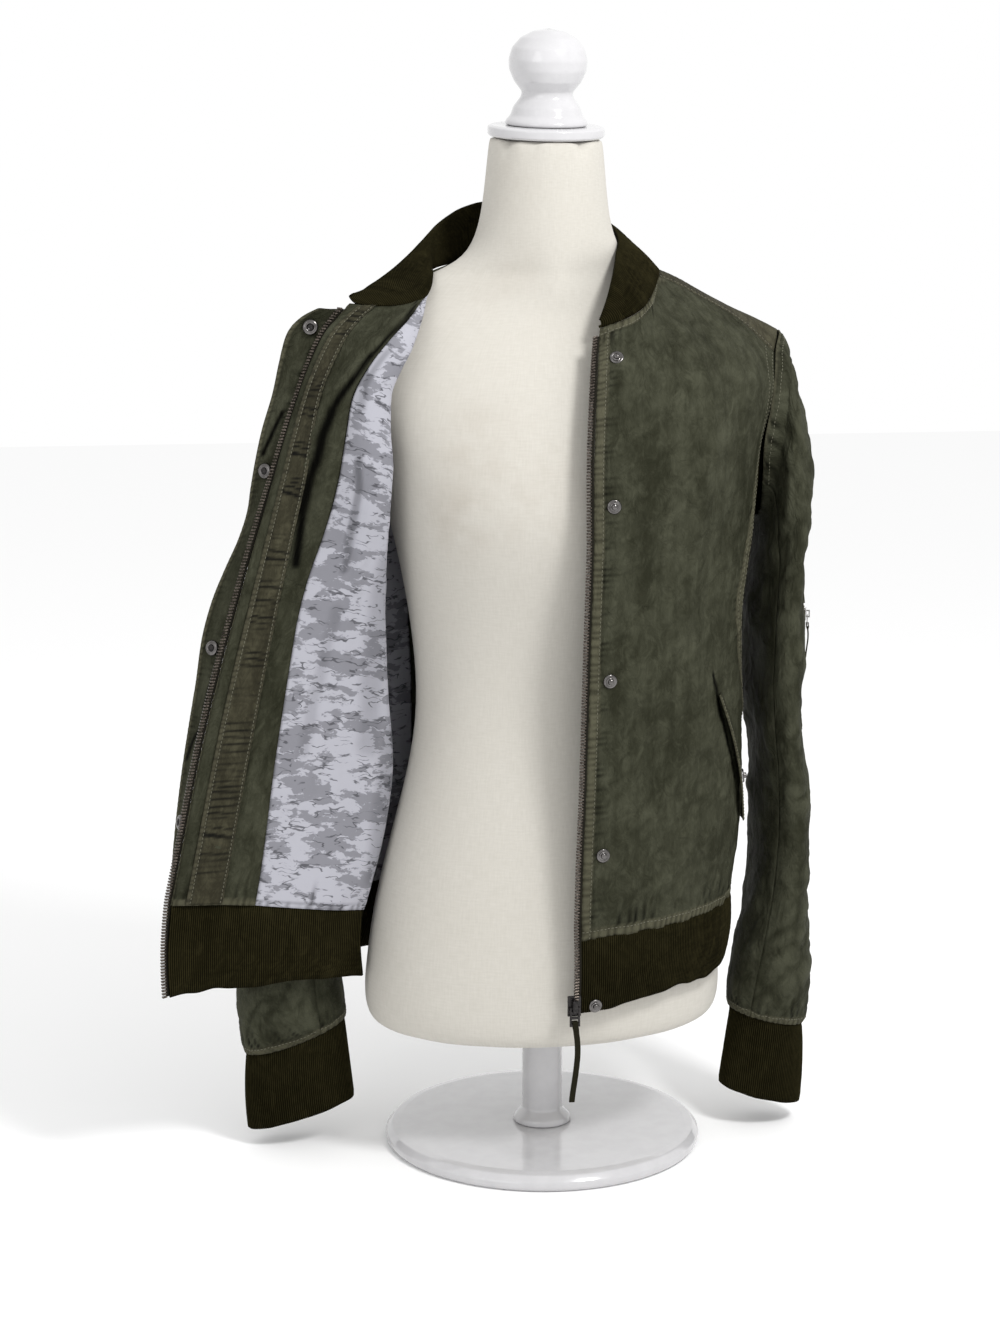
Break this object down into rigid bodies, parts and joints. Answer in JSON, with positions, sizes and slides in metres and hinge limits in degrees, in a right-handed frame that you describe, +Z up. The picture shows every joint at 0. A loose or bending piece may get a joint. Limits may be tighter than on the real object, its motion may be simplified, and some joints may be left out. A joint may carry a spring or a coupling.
{
  "type": "bomber jacket worn on a limbless dress form with a round stand",
  "caption": "Olive bomber jacket worn open on a linen-covered dress form, with ribbed collar, cuffs and hem, standing on a round foot.",
  "frame": {"origin": "middle of the stand foot's flat underside, on the floor", "axes": "+Z up, -Y the way the form faces, +X towards the wearer's left"},
  "size_m": [0.5589, 0.2732, 0.9241],
  "materials": {
    "shell": "washed woven cotton and nylon, crinkled, low sheen",
    "rib": "knitted rib, matte",
    "gusset": "fine knit, soft sheen",
    "lining": "smooth printed lining, low sheen",
    "trim": "stitched band, matte",
    "zip": "dark zip metal, satin",
    "metal": "worn gunmetal, satin",
    "linen": "unbleached linen, matte",
    "paint": "white, satin"
  },
  "bodies": {
    "jacket_and_form": {"dress_form": "linen", "neck_plate": "paint", "finial": "paint", "stand_foot": "paint", "stand_pole": "paint", "front_left": "shell", "front_right": "shell", "back": "shell", "side_panel_left": "gusset", "side_panel_right": "gusset", "lining_right": "lining", "facing_right": "shell", "lining_side": "lining", "lining_back": "lining", "facing_band": "trim", "shoulder_band_left": "trim", "shoulder_band_right": "trim", "hem_rib": "rib", "collar_rib": "rib", "sleeve_upper_left": "shell", "sleeve_under_left": "shell", "cuff_left": "rib", "sleeve_upper_right": "shell", "sleeve_under_right": "shell", "cuff_right": "rib", "zip_left": "zip", "zip_right": "zip", "storm_flap": "shell", "snap_stud_1": "metal", "snap_stud_2": "metal", "snap_stud_3": "metal", "snap_stud_4": "metal", "snap_stud_5": "metal", "snap_socket_1": "metal", "snap_socket_2": "metal", "snap_socket_3": "metal", "snap_socket_4": "metal", "snap_socket_5": "metal", "pocket_welt_left": "shell", "pocket_snap_left": "metal", "pocket_welt_right": "shell", "pocket_snap_right": "metal", "main_slider": "zip", "main_bridge": "zip", "sleeve_pocket": "shell", "sleeve_zip_cover": "shell", "sleeve_zip": "zip", "sleeve_slider": "metal", "sleeve_bridge": "metal"},
    "main_pull": {"main_pull": "zip", "main_strap": "trim"},
    "sleeve_pull": {"sleeve_pull": "metal", "sleeve_strap": "trim"}
  },
  "joints": [
    {"name": "main_pull_swing", "type": "hinge", "parent": "jacket_and_form", "child": "main_pull", "pos_m": [-0.00016, -0.12659, 0.15202], "axis": [-1, 0, 0], "range_deg": [0, 120]},
    {"name": "sleeve_pull_swing", "type": "hinge", "parent": "jacket_and_form", "child": "sleeve_pull", "pos_m": [0.22376, -0.01471, 0.44778], "axis": [-0.3746, -0.9272, 0], "range_deg": [0, 120]}
  ]
}
